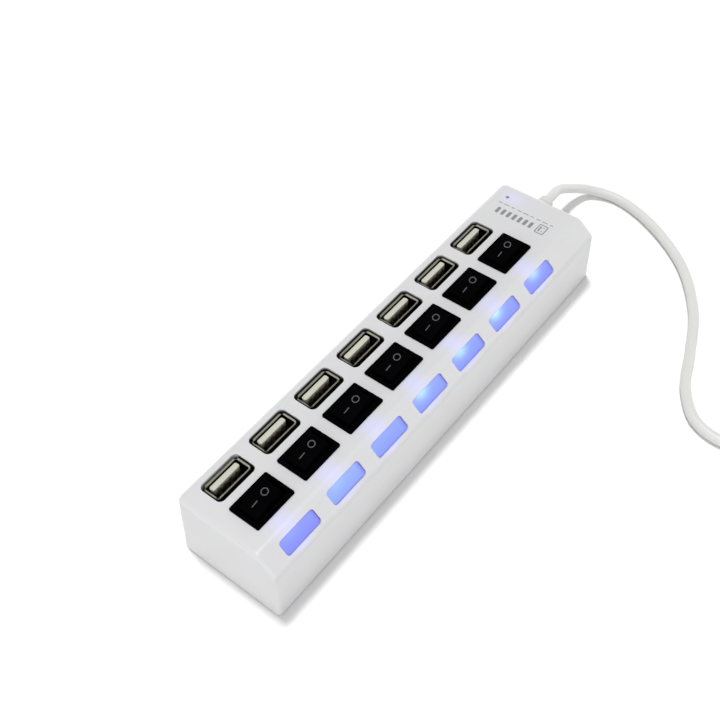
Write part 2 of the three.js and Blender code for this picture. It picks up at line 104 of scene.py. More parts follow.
# Edge fillets of the casing, given as how far they reach into the two faces beside the edge.
EASE_BACK = 1.6
EASE_FACET_TOP, EASE_FACET_LOW = 2.0, 1.3
EASE_NEAR_END, EASE_FAR_END = 1.5, 2.7
EASE_CORNER, EASE_FAR_CORNER, EASE_NEAR_CORNER = 1.3, 2.4, 2.8

# How far the visible walls stand off the CAD's: all of the far end, and two of the feet.
FAR_END_BULGE = 0.9
REAR_FOOT_OUT = 1.5
LIGHT_FOOT_IN = 0.6

# Tools that cut the top reach from CUT_FLOOR to CUT_PAST above the surface.
CUT_FLOOR = 20.0
CUT_PAST = 3.0

socket_low, socket_high = box_mm("port_shell_1")
SOCKET_Y = middle_mm("port_shell_1").y
SOCKET_SEAT = socket_low.z
SOCKET_MOUTH = socket_high.z
OPEN_X, OPEN_Y, OPEN_RADIUS = 12.5, 5.1, 0.45
SHEET = 0.3
HOLE_Y = 11.05
HOLE_X_SIZE, HOLE_Y_SIZE, HOLE_RADIUS = 14.8, 8.5, 1.7
HOLE_EASE = 0.2

TONGUE_X, TONGUE_Y = 10.8, 1.84
TONGUE_TOP = box_mm("port_tongue_1")[1].z
TONGUE_OFFSET = OPEN_Y / 2 - 0.6 - TONGUE_Y / 2
TONGUE_BASE = 3.2
CONTACT_SPOTS = (-3.5, -1.0, 1.0, 3.5)

housing_low, housing_high = box_mm("switch_housing_1")
SWITCH_Y = middle_mm("switch_housing_1").y
BEZEL_X = housing_high.x - housing_low.x
BEZEL_Y = housing_high.y - housing_low.y
BEZEL_TOP = housing_high.z
BODY_X, BODY_Y, BODY_LOW = 13.6, 8.8, 14.4
BODY_GAP = 0.25
WELL_X, WELL_Y, WELL_FLOOR = 12.6, 7.6, 1.2
BLADE_SPOTS = (-4.6, 0, 4.6)

# The rocker, measured from its pivot.
ROCKER_HALF = 5.15
ROCKER_HALF_WIDTH = 3.5
ROCKER_VALLEY = 3.5
ROCKER_END = 3.85
PIN_RADIUS, PIN_REACH = 0.9, 4.1
PLUNGER_RADIUS, PLUNGER_TIP = 1.0, 6.2

WINDOW_X, WINDOW_Y, WINDOW_RADIUS = 13.8, 4.85, 1.0
WINDOW_ALONG = 3.54
LENS_RECESS = 0.25
LENS_GAP = 0.12
LAMP_DX = -1.5

PINHOLE_RADIUS, PINHOLE_EASE = 0.6, 0.15
pinhole = middle_mm("power_led")

CABLE_RADIUS = 1.7
CABLE_Y, CABLE_Z = 4.6, 17.6
CABLE_FLOOR = CABLE_RADIUS + 0.05
BOOT_HOLE = (3.05, -6, 8)

screws = [middle_mm(f"case_screw_{n}") for n in range(1, 5)]
SCREW_SPOTS = [(screw.x, screw.y) for screw in screws]
SCREW_HEAD_Z = box_mm("case_screw_1")[0].z

# Round details at each screw: radius, lowest z and highest z.
BOSS = (2.2, 3.4, TOP)
BOSS_HOLE = (1.05, 1, 13)
COVER_PAD = (2.7, 0.6, 3.3)
COVER_RECESS = (2.3, -1, SCREW_HEAD_Z + 1.3)
COVER_HOLE = (1.1, 0, 6)

PLUG_BACK = Vector((158.0, -66.0, 3.9))
PLUG_HEADING = math.radians(28)
GRIP_LENGTH, GRIP_WIDTH, GRIP_HEIGHT = 25.0, 15.6, 7.8
PLUG_SHELL_X, PLUG_SHELL_Y, PLUG_REACH, PLUG_INSIDE = 12.0, 4.5, 12.2, 6.0
PLUG_SHELL_RADIUS = 0.6


# ---------- outlines and rings

EASE_STEPS = 5


def rounded(width, height, radius, steps=6):
    """Points of a rectangle with round corners, anticlockwise, centred on the origin."""
    radius = max(radius, 0.02)
    w, h = width / 2 - radius, height / 2 - radius
    points = []
    for quarter, (cx, cy) in enumerate(((w, h), (-w, h), (-w, -h), (w, -h))):
        for k in range(steps + 1):
            a = math.radians(90 * (quarter + k / steps))
            points.append((cx + radius * math.cos(a), cy + radius * math.sin(a)))
    return points


def circle(radius, segments):
    angles = [2 * math.pi * k / segments for k in range(segments)]
    return [(radius * math.cos(a), radius * math.sin(a)) for a in angles]


def filleted(corners, steps=EASE_STEPS):
    """Points of a closed outline whose corners (x, y, radius) are eased."""
    points = []
    count = len(corners)
    for i, (x, y, radius) in enumerate(corners):
        here = Vector((x, y))
        if radius <= 0:
            points.append((x, y))
            continue
        before = (Vector(corners[i - 1][:2]) - here).normalized()
        after = (Vector(corners[(i + 1) % count][:2]) - here).normalized()
        reach = radius / math.tan(before.angle(after) / 2)
        start, end = here + before * reach, here + after * reach
        for k in range(steps + 1):
            t = k / steps
            p = start * (1 - t) ** 2 + here * 2 * t * (1 - t) + end * t**2
            points.append((p.x, p.y))
    return points


def inset_outline(points, amount):
    """The outline moved inwards along its own normals."""
    inner = []
    count = len(points)
    for i, point in enumerate(points):
        before, after = Vector(points[i - 1]), Vector(points[(i + 1) % count])
        along = (after - before).normalized()
        inward = Vector((-along.y, along.x))
        inner.append(tuple(Vector(point) + inward * amount))
    return inner


def ease_steps(radius):
    """(inset, drop) pairs of a quarter round, from the wall to the face; a minus radius flares."""
    size = abs(radius)
    sign = 1 if radius >= 0 else -1
    pairs = []
    for k in range(EASE_STEPS + 1):
        a = math.radians(90 * k / EASE_STEPS)
        pairs.append((sign * size * (1 - math.cos(a)), size * (1 - math.sin(a))))
    return pairs


def wall_profile(z0, z1, low=0.0, top=0.0):
    """(inset, z) pairs up a wall from z0 to z1 with its two edges eased."""
    pairs = [(i, z0 + d) for i, d in reversed(ease_steps(low))] if low else [(0, z0)]
    pairs += [(i, z1 - d) for i, d in ease_steps(top)] if top else [(0, z1)]
    return pairs


def rings_of(width, height, radius, profile):
    """Rounded rings, one for each (inset, z) pair."""
    rings = []
    for inset, z in profile:
        outline = rounded(width - 2 * inset, height - 2 * inset, radius - inset)
        rings.append([(x, y, z) for x, y in outline])
    return rings


# ---------- meshes

SHARP_ANGLE = math.radians(32)


def loft(rings, closed=False):
    """A skin over rings of the same length; closed joins the last ring to the first."""
    bm = bmesh.new()
    rows = [[bm.verts.new(p) for p in ring] for ring in rings]
    pairs = list(zip(rows, rows[1:])) + ([(rows[-1], rows[0])] if closed else [])
    for low, high in pairs:
        for i in range(len(low)):
            j = (i + 1) % len(low)
            bm.faces.new((low[i], low[j], high[j], high[i]))
    if not closed:
        bm.faces.new(list(reversed(rows[0])))
        bm.faces.new(rows[-1])
    return bm


def moved(bm, matrix):
    bm.transform(matrix)
    return bm


def shift(x, y, z=0):
    return Matrix.Translation((x, y, z))


def turn(degrees, axis):
    return Matrix.Rotation(math.radians(degrees), 4, axis)


def block(width, height, radius, z0, z1, low=0.0, top=0.0, at=(0, 0)):
    """An upright rounded block with eased lower and upper edges."""
    bm = loft(rings_of(width, height, radius, wall_profile(z0, z1, low, top)))
    return moved(bm, shift(*at))


def turned(profile, segments=40, closed=False):
    """A turned solid about Z: profile is (radius, z) pairs; a zero radius closes an end."""
    rings = []
    for radius, z in profile:
        rings.append([(x, y, z) for x, y in circle(max(radius, 0.001), segments)])
    return loft(rings, closed)


def rod(radius, z0, z1, segments=40):
    """A plain round bar, for cutting with and for building up from."""
    return turned([(radius, z0), (radius, z1)], segments)


def swept(path, radius):
    """A round bar along a path of points, with no twist."""
    section = circle(radius, 24)
    tangent = (path[1] - path[0]).normalized()
    side = tangent.orthogonal().normalized()
    rings = []
    for i, point in enumerate(path):
        ahead = path[min(i + 1, len(path) - 1)]
        behind = path[max(i - 1, 0)]
        bend = tangent.rotation_difference((ahead - behind).normalized())
        side = (bend @ side).normalized()
        tangent = (ahead - behind).normalized()
        across = tangent.cross(side)
        rings.append([point + side * u + across * v for u, v in section])
    return loft(rings)


def add_to(result, part):
    """Puts part's mesh into result and uses part up."""
    mesh = bpy.data.meshes.new("part")
    part.to_mesh(mesh)
    part.free()
    result.from_mesh(mesh)
    bpy.data.meshes.remove(mesh)


def together(*parts):
    """One mesh out of several."""
    result = bmesh.new()
    for part in parts:
        add_to(result, part)
    return result


def copies(matrices, make, *sizes):
    """What make(*sizes) gives, once for each matrix."""
    return together(*[moved(make(*sizes), matrix) for matrix in matrices])


def at_spots(spots, make, *sizes):
    return copies([shift(*spot) for spot in spots], make, *sizes)


def show(name, data):
    """An object in the scene that holds data."""
    thing = bpy.data.objects.new(name, data)
    bpy.context.scene.collection.objects.link(thing)
    return thing


def shown_mesh(name, bm):
    """An object made from bm, which is used up."""
    bmesh.ops.recalc_face_normals(bm, faces=bm.faces)
    mesh = bpy.data.meshes.new(name)
    bm.to_mesh(mesh)
    bm.free()
    return show(name, mesh)


def discard(thing):
    mesh = thing.data
    bpy.data.objects.remove(thing)
    bpy.data.meshes.remove(mesh)


def modified(bm, kind, **settings):
    """The mesh after a modifier of this kind; bm is used up."""
    thing = shown_mesh("temporary", bm)
    modifier = thing.modifiers.new("change", kind)
    for name, value in settings.items():
        setattr(modifier, name, value)
    depsgraph = bpy.context.evaluated_depsgraph_get()
    mesh = bpy.data.meshes.new_from_object(thing.evaluated_get(depsgraph))
    result = bmesh.new()
    result.from_mesh(mesh)
    bpy.data.meshes.remove(mesh)
    discard(thing)
    return result


def combined(base, tool, operation="DIFFERENCE"):
    """One mesh out of two by a boolean operation; both are used up."""
    other = shown_mesh("tool", tool)
    result = modified(base, "BOOLEAN", operation=operation, solver="EXACT", object=other)
    discard(other)
    return result


def piece(name, bm, material, body="hub", replaces=None):
    """Makes a piece of the object out of a mesh in millimetres."""
    thing = shown_mesh(name, moved(bm, Matrix.Scale(MM, 4)))
    thing.data.materials.append(material)
    thing.data.shade_smooth()
    thing.data.set_sharp_from_angle(angle=SHARP_ANGLE)
    thing.modifiers.new("shading", "WEIGHTED_NORMAL").keep_sharp = True
    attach(thing, body)
    if replaces:
        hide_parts(replaces)


# ---------- materials

DRIFT_SCALE = 87.5
PATCH_SCALE = 90.0
GRAIN_SCALE = 2800.0
GRAIN_HEIGHT = 0.00002


class Wiring:
    """Procedural nodes that feed the shader of a material or of the world."""

    def __init__(self, owner, shader, place):
        owner.use_nodes = True
        self.owner = owner
        self.nodes = owner.node_tree.nodes
        self.links = owner.node_tree.links
        self.shader = self.nodes[shader]
        self.place = self.node("TexCoord", {}, place)

    def feed(self, node, index, value):
        """Sets a node's input to a number or a colour, or wires it to another node's output."""
        if isinstance(value, bpy.types.NodeSocket):
            self.links.new(value, node.inputs[index])
        elif isinstance(value, tuple):
            node.inputs[index].default_value = (*value, 1.0)
        else:
            node.inputs[index].default_value = value

    def put(self, socket, value):
        self.feed(self.shader, socket, value)

    def node(self, kind, values, output=0, **settings):
        """The output of a new node whose settings and inputs have these values."""
        node = self.nodes.new("ShaderNode" + kind)
        for name, setting in settings.items():
            setattr(node, name, setting)
        for index, value in values.items():
            self.feed(node, index, value)
        return node.outputs[output]

    def math(self, operation, *values):
        return self.node("Math", dict(enumerate(values)), operation=operation)

    def product(self, first, *others):
        for other in others:
            first = self.math("MULTIPLY", first, other)
        return first

    def ratio(self, value, start, size):
        """How far value is past start, measured in sizes."""
        return self.math("DIVIDE", self.math("SUBTRACT", value, start), size)

    def within(self, distance, reach):
        """1 where the distance, either way, is less than reach."""
        return self.math("LESS_THAN", self.math("ABSOLUTE", distance), reach)

    def axes(self):
        """X, Y and Z of the place, in metres, or in the world of the direction."""
        return [self.node("SeparateXYZ", {0: self.place}, axis) for axis in "XYZ"]

    def attribute(self, name):
        return self.node("Attribute", {}, "Fac", attribute_name=name)

    def repeat(self, x, first):
        """Distance along X from the nearest of a row of places PITCH apart, first (mm) being one."""
        offset = self.math("SUBTRACT", x, first * MM)
        return self.math("WRAP", offset, PITCH / 2 * MM, -PITCH / 2 * MM)

    def hump(self, *distances):
        """1 in the middle, falling smoothly with the distances."""
        total = 0.0
        for distance in distances:
            square = self.math("POWER", self.math("ABSOLUTE", distance), 2.0)
            total = self.math("ADD", square, total)
        return self.math("EXPONENT", self.product(total, -1.0))

    def noise(self, scale):
        values = {"Vector": self.place, "Scale": scale, "Detail": 3.0}
        return self.node("TexNoise", values, "Fac")

    def mix(self, factor, first, second):
        """Mixes two colours."""
        return self.node("Mix", {0: factor, 6: first, 7: second}, 2, data_type="RGBA")

    def span(self, value, start, end, low=0.0, high=1.0, way="SMOOTHSTEP"):
        """Goes from low to high while value goes from start to end."""
        values = dict(enumerate((value, start, end, low, high)))
        return self.node("MapRange", values, interpolation_type=way)

    def bump(self, height, strength):
        values = {"Strength": strength, "Distance": GRAIN_HEIGHT, "Height": height}
        self.put("Normal", self.node("Bump", values))


def faded(colour, factor):
    return tuple(min(1.0, c * factor) for c in colour)


def shades(colour, spread):
    """The colour a little darker and a little lighter."""
    return faded(colour, 1 - spread), faded(colour, 1 + spread)


def finish(name, colour, roughness, metallic=0.0, specular=0.5, spread=0.04, relief=0.03):
    """A moulded or plated surface: colour and roughness drift a little over a fine grain."""
    made = Wiring(bpy.data.materials.new(name), "Principled BSDF", "Object")
    drift = made.noise(DRIFT_SCALE)
    made.put("Base Color", made.mix(drift, *shades(colour, spread)))
    made.put("Roughness", made.span(drift, 0.3, 0.7, roughness * 0.92, roughness * 1.08))
    made.put("Metallic", metallic)
    made.put("Specular IOR Level", specular)
    made.bump(made.noise(GRAIN_SCALE), relief)
    return made


def plain(*looks, **more):
    """The material of a finish that needs nothing added."""
    return finish(*looks, **more).owner


CASING_COLOUR = (0.55, 0.55, 0.557)
CASING_SPREAD = 0.012

# Painted shade darkens the socket holes' walls from HOLE_DARK_FROM below the top to HOLE_DARK_FULL
# below it.
HOLE_MARGIN = 0.3
HOLE_DARK_FROM, HOLE_DARK_FULL = 0.15, 1.1
HOLE_LEFT = 0.06

# Painted glow of the lamps' light on the casing: its reach along X, and the Y and Z over which it
# comes up.
GLOW_BLUE = (0.10, 0.12, 1.0)
GLOW_STRENGTH = 0.24
GLOW_REACH = 4.0
GLOW_Y = (-5.0, -9.5)
GLOW_Z = (18.5, 20.8)
GLOW_PAST_LAST = (8.0, 11.0)

# The power lamp's painted glow on the casing: its middle, from the pinhole, and its reach, along X
# and Y.
POWER_OFFSET = (0.6, -2.4)
POWER_REACH = (3.2, 4.2)
POWER_GLOW = 0.7


def hole_shade_mask(made):
    """Mask of painted shade: 0 on the faces of the casing, rising to 1 down the walls of the socket
    holes.
    """
    x, y, z = made.axes()
    half_x = HOLE_X_SIZE / 2 + HOLE_MARGIN
    half_y = HOLE_Y_SIZE / 2 + HOLE_MARGIN
    return made.product(
        made.span(z, (TOP - HOLE_DARK_FROM) * MM, (TOP - HOLE_DARK_FULL) * MM),
        made.within(made.repeat(x, port_x[0]), half_x * MM),
        made.within(x, (port_x[-1] + half_x) * MM),
        made.within(made.math("SUBTRACT", y, HOLE_Y * MM), half_y * MM),
        made.math("GREATER_THAN", z, (TOP - 2 * WALL) * MM),
    )


def painted_lamp_glow(made):
    """Where a glow of the seven port lamps and the power lamp is painted on the casing."""
    x, y, z = made.axes()
    across = made.repeat(x, port_x[0] + LAMP_DX)
    start, end = [(port_x[-1] + past) * MM for past in GLOW_PAST_LAST]
    lamps = made.product(
        made.hump(made.math("DIVIDE", across, GLOW_REACH * MM)),
        made.span(y, GLOW_Y[0] * MM, GLOW_Y[1] * MM),
        made.span(x, start, end, 1.0, 0.0),
    )
    power_x = made.ratio(x, (pinhole.x + POWER_OFFSET[0]) * MM, POWER_REACH[0] * MM)
    power_y = made.ratio(y, (pinhole.y + POWER_OFFSET[1]) * MM, POWER_REACH[1] * MM)
    power = made.product(made.hump(power_x, power_y), POWER_GLOW)
    return made.product(made.math("ADD", lamps, power), made.span(z, GLOW_Z[0] * MM, GLOW_Z[1] * MM))


def casing_finish():
    """White plastic with painted shade down in the socket holes and a painted blue glow near each
    lamp.
    """
    look = {"specular": 0.3, "spread": CASING_SPREAD, "relief": 0.015}
    made = finish("casing_plastic", CASING_COLOUR, 0.34, **look)
    white = made.mix(made.noise(PATCH_SCALE), *shades(CASING_COLOUR, CASING_SPREAD))
    # The colour of the painted shade down the socket holes' walls.
    painted_hole_shade = faded(CASING_COLOUR, HOLE_LEFT)
    made.put("Base Color", made.mix(hole_shade_mask(made), white, painted_hole_shade))
    # A painted glow of the lamps' light on the casing.
    made.put("Emission Color", GLOW_BLUE)
    made.put("Emission Strength", made.product(painted_lamp_glow(made), GLOW_STRENGTH))
    return made.owner


# A lens's colours: each pair is without and with the cool tint.
LENS_LOW = ((0.15, 0.19, 0.74), (0.21, 0.32, 0.76))
LENS_HIGH = ((0.20, 0.25, 0.80), (0.25, 0.40, 0.83))
# Painted shade for the lens's wide rims and thin edges; LENS_SHADE is how strongly it is mixed in.
LENS_RIM_SHADE = (0.15, 0.15, 0.60)
LENS_EDGE_SHADE = (0.04, 0.03, 0.32)
LENS_SPOT = (0.50, 0.86, 1.0)
LENS_SHADE = 0.75

# Heights on a lens go from 0 at LENS_FOOT below the top to 1 at LENS_HEAD below it.
LENS_FOOT, LENS_HEAD = 4.3, 0.6
SPOT_REACH_X, SPOT_HEIGHT, SPOT_REACH_Z = 2.9, 0.95, 0.42
LENS_STRENGTH, SPOT_STRENGTH = 0.84, 0.16


def lens_finish():
    """A violet-blue lens lit from behind, brighter by its lamp, with painted shade round three sides.
    """
    made = finish("lit_lens", (0.10, 0.11, 0.30), 0.3, specular=0.2, spread=0.1, relief=0.01)
    x, _, z = made.axes()
    across = made.repeat(x, port_x[0])
    height = made.ratio(z, (TOP - LENS_FOOT) * MM, (LENS_FOOT - LENS_HEAD) * MM)
    cool = made.attribute("cool")
    low, high = made.mix(cool, *LENS_LOW), made.mix(cool, *LENS_HIGH)
    body = made.mix(made.span(height, 0.0, 0.9), low, high)
    # Painted shade along the far and lower rims, then along the thin upper and far edges.
    far_rim_shade = made.span(across, 4.8 * MM, 6.6 * MM)
    low_rim_shade = made.span(height, 0.15, 0.0)
    rim = made.math("MAXIMUM", far_rim_shade, low_rim_shade)
    body = made.mix(made.product(rim, LENS_SHADE), body, LENS_RIM_SHADE)
    upper_edge_shade = made.product(made.span(height, 0.89, 0.96), made.span(across, -2.0 * MM, 3.0 * MM))
    far_edge_shade = made.span(across, 6.2 * MM, 6.7 * MM)
    edge = made.math("MAXIMUM", upper_edge_shade, far_edge_shade)
    body = made.mix(made.product(edge, LENS_SHADE), body, LENS_EDGE_SHADE)
    spot_x = made.ratio(across, made.attribute("lamp_x"), SPOT_REACH_X * MM)
    spot_z = made.ratio(height, SPOT_HEIGHT, SPOT_REACH_Z)
    spot = made.product(made.hump(spot_x, spot_z), made.attribute("lamp"))
    made.put("Emission Color", made.mix(spot, body, LENS_SPOT))
    strength = made.math("ADD", made.product(spot, SPOT_STRENGTH), LENS_STRENGTH)
    made.put("Emission Strength", strength)
    return made.owner


def black_finish():
    return plain("black_plastic", (0.0010, 0.0010, 0.0013), 0.32, specular=0.002, spread=0.1)


NICKEL = (0.53, 0.51, 0.43)
CREAM = (0.74, 0.71, 0.60)
CREAM_LIT = (0.49, 0.485, 0.415)
GOLD = (0.42, 0.34, 0.22)


def shaded_into_socket(made, colour, dark_z, full_z, left=0.03):
    """A finish with painted shade: its colour fades to almost nothing going down into a socket."""
    _, _, z = made.axes()
    depth_shade = made.span(z, dark_z * MM, full_z * MM)
    lit = made.mix(made.noise(PATCH_SCALE), *shades(colour, 0.06))
    made.put("Base Color", made.mix(depth_shade, faded(colour, left), lit))
    return made.owner


def socket_metal_finish():
    """Nickel plate with a warm tone and painted shade going down into the socket."""
    made = finish("nickel_warm", NICKEL, 0.3, metallic=1.0, spread=0.08, relief=0.05)
    return shaded_into_socket(made, NICKEL, SOCKET_MOUTH - 1.0, SOCKET_MOUTH - 0.45)


def plug_metal_finish():
    return plain("nickel_satin", (0.60, 0.60, 0.59), 0.3, metallic=1.0, spread=0.05)


def socket_insulator_finish():
    made = finish("cream_socket", CREAM_LIT, 0.45, specular=0.15, spread=0.03)
    # Painted shade going down into the socket.
    return shaded_into_socket(made, CREAM_LIT, TONGUE_TOP - 3.2, TONGUE_TOP - 0.05, left=0.1)


def socket_contact_finish():
    made = finish("gold_socket", GOLD, 0.4, metallic=1.0, spread=0.08)
    # Painted shade going down into the socket.
    return shaded_into_socket(made, GOLD, TONGUE_TOP - 5.0, TONGUE_TOP - 0.8, left=0.4)


def plug_insulator_finish():
    return plain("cream_plug", CREAM, 0.45, spread=0.03)


def plug_contact_finish():
    return plain("gold_plug", (0.62, 0.47, 0.20), 0.3, metallic=1.0, spread=0.06)


def vinyl_finish():
    """Soft white cable jacket with a fine matt texture."""
    white = (0.58, 0.585, 0.565)
    return plain("white_vinyl", white, 0.42, specular=0.4, spread=0.02, relief=0.06)


def print_finish():
    return plain("grey_print", (0.20, 0.21, 0.225), 0.5, specular=0.3, spread=0.06)


def mark_finish():
    return plain("grey_mark", (0.08, 0.08, 0.084), 0.5, specular=0.1, spread=0.1)


def steel_finish():
    return plain("zinc_steel", (0.55, 0.55, 0.56), 0.35, metallic=1.0, spread=0.06)


def copper_finish():
    return plain("bare_copper", (0.34, 0.19, 0.11), 0.35, metallic=1.0, spread=0.08)


MASK_GREEN = (0.02, 0.12, 0.05)
TRACK_GREEN = (0.03, 0.20, 0.08)
TRACK_WAVES = 5200.0
TRACK_SHARE = 0.55


def board_finish():
    """Solder mask with faint tracks under it."""
    made = finish("solder_mask", MASK_GREEN, 0.4, spread=0.05)
    x, y, _ = made.axes()
    wave = made.math("SINE", made.product(made.math("ADD", x, y), TRACK_WAVES))
    tracks = made.math("GREATER_THAN", wave, TRACK_SHARE)
    made.put("Base Color", made.mix(tracks, MASK_GREEN, TRACK_GREEN))
    return made.owner


def resin_finish():
    return plain("chip_resin", (0.015, 0.015, 0.016), 0.5, spread=0.15, relief=0.1)


def lamp_finish():
    """Clear lamp body that glows blue-white near its top."""
    made = finish("lamp_resin", (0.55, 0.60, 0.80), 0.15, spread=0.03)
    _, _, z = made.axes()
    made.put("Emission Color", (0.35, 0.45, 1.0))
    made.put("Emission Strength", made.span(z, 13 * MM, 18 * MM, 0.0, 2.0))
    return made.owner


# ---------- casing


def drafted(x, y, z):
    """Leans the walls outwards towards the underside."""
    drop = 1 - z / TOP
    lean_x = 1 + drop * END_DRAFT / HALF_LENGTH
    lean_y = 1 + drop * SIDE_DRAFT / HALF_WIDTH
    return x * lean_x, y * lean_y, z


def casing_section(inset, low_z):
    """The five corners of the cross-section (y, z), from the lower edge on the light side round."""
    run, rise = HALF_WIDTH + FACET_TOP_Y, TOP - FACET_LOW_Z
    slope = math.hypot(run, rise)
    side, high_z = HALF_WIDTH - inset, TOP - inset
    facet_low = FACET_LOW_Z - inset * (slope - rise) / run
    facet_top = FACET_TOP_Y + inset * (slope - run) / rise
    return [(-side, low_z), (side, low_z), (side, high_z), (facet_top, high_z), (-side, facet_low)]


def casing_block(inset, low_z):
    section = casing_section(inset, low_z)
    half = HALF_LENGTH - inset
    return loft([[drafted(x, y, z) for y, z in section] for x in (-half, half)])


def ease_for(a, b):
    """How far the fillet on a casing edge reaches, from the edge's two ends."""
    middle = (a + b) / 2
    if middle.z < 1:
        return 0.0
    if abs(a.x - b.x) > 10:
        if middle.z < TOP - 1:
            return EASE_FACET_LOW
        return EASE_BACK if middle.y > 0 else EASE_FACET_TOP
    if abs(a.z - b.z) > 10:
        if middle.x > 0:
            return EASE_FAR_CORNER
        return EASE_NEAR_CORNER if middle.y > 0 else EASE_CORNER
    return EASE_FAR_END if middle.x > 0 else EASE_NEAR_END


def eased_casing():
    """The outside of the casing, walls set off from the CAD's, with each edge's own fillet."""
    bm = casing_block(0, FOOT)
    for vert in bm.verts:
        if vert.co.x > 0:
            vert.co.x += FAR_END_BULGE
        if vert.co.z < 1:
            vert.co.y += REAR_FOOT_OUT if vert.co.y > 0 else LIGHT_FOOT_IN
    weight = bm.edges.layers.float.new("bevel_weight_edge")
    for edge in bm.edges:
        edge[weight] = ease_for(edge.verts[0].co, edge.verts[1].co) / EASE_NEAR_CORNER
    fillets = {"limit_method": "WEIGHT", "width": EASE_NEAR_CORNER, "segments": 8}
    return modified(bm, "BEVEL", use_clamp_overlap=False, **fillets)


def on_facet(x):
    """Matrix from a window's own axes (X across, Y up the slope, Z out) to the frame."""
    slope = math.atan2(TOP - FACET_LOW_Z, HALF_WIDTH + FACET_TOP_Y)
    y = FACET_TOP_Y - WINDOW_ALONG * math.cos(slope)
    z = TOP - WINDOW_ALONG * math.sin(slope)
    return shift(x, y, z) @ Matrix.Rotation(slope, 4, "X")


def hole_cutter(width, height, radius, bottom, surface, ease):
    """Cuts a hole whose upper edge is rounded over."""
    profile = wall_profile(bottom, surface, top=-ease)
    profile.append((-ease, surface + CUT_PAST))
    return loft(rings_of(width, height, radius, profile))


def port_cutter():
    return hole_cutter(HOLE_X_SIZE, HOLE_Y_SIZE, HOLE_RADIUS, CUT_FLOOR, TOP, HOLE_EASE)


def switch_cutter():
    return hole_cutter(BODY_X + 2 * BODY_GAP, BODY_Y + 2 * BODY_GAP, 0.4, CUT_FLOOR, TOP, 0.05)


def window_cutter():
    return hole_cutter(WINDOW_X, WINDOW_Y, WINDOW_RADIUS, -4, 0.02, 0.14)


def pinhole_cutter():
    rim = [(PINHOLE_RADIUS - inset, TOP - drop) for inset, drop in ease_steps(-PINHOLE_EASE)]
    above = (PINHOLE_RADIUS + PINHOLE_EASE, TOP + CUT_PAST)
    return turned([(PINHOLE_RADIUS, CUT_FLOOR), *rim, above])


def along_x(place):
    """Turns a piece built along +Z so that it runs along +X from place."""
    return Matrix.Translation(place) @ turn(90, "Y")


def build_casing(material):
    """The upper part: walls round a hollow with a boss for each screw, and all its openings."""
    hollow = combined(casing_block(WALL, -3), at_spots(SCREW_SPOTS, rod, *BOSS))
    body = combined(eased_casing(), hollow)
    tools = together(
        at_spots([(x, HOLE_Y) for x in port_x], port_cutter),
        at_spots([(x, SWITCH_Y) for x in port_x], switch_cutter),
        copies([on_facet(x) for x in port_x], window_cutter),
        moved(pinhole_cutter(), shift(pinhole.x, pinhole.y)),
        moved(rod(*BOOT_HOLE), along_x((HALF_LENGTH, CABLE_Y, CABLE_Z))),
        at_spots(SCREW_SPOTS, rod, *BOSS_HOLE),
    )
    piece("casing_top", combined(body, tools), material, replaces="top_shell")


def build_cover(material):
    """The plate under the casing, with a sunk hole for each screw and stubs that carry the board."""
    size = cover_high - cover_low
    plate = block(size.x, size.y, 1.0, cover_low.z, cover_low.z + WALL, low=0.3, top=0.2)
    rest = [(1.8, 1.0), (1.6, box_mm("main_board")[0].z - 0.1)]
    rest_spots = [(59 * step - 1, side * 12) for step in (-1, 0, 1) for side in (-1, 1)]
    body = combined(plate, at_spots(SCREW_SPOTS, rod, *COVER_PAD), "UNION")
    body = combined(body, at_spots(rest_spots, turned, rest), "UNION")
    body = combined(body, at_spots(SCREW_SPOTS, rod, *COVER_RECESS))
    body = combined(body, at_spots(SCREW_SPOTS, rod, *COVER_HOLE))
    piece("base_cover", body, material, replaces="bottom_cover")


def screw():
    """A screw standing on its head, with a cross cut into the head."""
    head = [(0, 0), (1.3, 0.02), (1.8, 0.16), (2.1, 0.5), (2.1, 1.2)]
    shank = [(0.85, 1.2), (0.85, 10), (0, 11.2)]
    body = turned(head + shank)
    for degrees in (0, 90):
        slot = block(2.6, 0.45, 0.1, -1, 0.7)
        body = combined(body, moved(slot, turn(degrees, "Z")))
    return body


def build_screws(material):
    for n, (x, y) in enumerate(SCREW_SPOTS, 1):
        body = moved(screw(), shift(x, y, SCREW_HEAD_Z))
        piece(f"base_screw_{n}", body, material, replaces=f"case_screw_{n}")


# ---------- sockets

LIP_BEND, LIP_TIP, LIP_FLARE = 0.42, 0.3, math.radians(56)

# Notches in the socket's flared lip: the corner (side in X, side in Y) and how wide they are cut.
LIP_NOTCHES = ((-1, 1, 1.7), (1, 1, 2.1), (-1, -1, 1.0))
NOTCH_LENGTH, NOTCH_DEPTH, NOTCH_OUT = 3.2, 0.8, 1.0


def socket_sheet():
    """(offset outwards, z) round the sheet metal's section, up the inside and down the outside."""
    lip_start = SOCKET_MOUTH - LIP_BEND * math.sin(LIP_FLARE) - LIP_TIP * math.cos(LIP_FLARE)
    inner = [(0, SOCKET_SEAT)]
    for k in range(EASE_STEPS + 1):
        a = LIP_FLARE * k / EASE_STEPS
        inner.append((LIP_BEND * (1 - math.cos(a)), lip_start + LIP_BEND * math.sin(a)))
    outwards = Vector((math.sin(LIP_FLARE), math.cos(LIP_FLARE)))
    inner.append(tuple(Vector(inner[-1]) + outwards * LIP_TIP))
    outer = []
    for k, (offset, z) in enumerate(inner):
        before, after = Vector(inner[max(k - 1, 0)]), Vector(inner[min(k + 1, len(inner) - 1)])
        along = (after - before).normalized()
        outer.append((offset + along.y * SHEET, z - along.x * SHEET))
    return inner + list(reversed(outer))


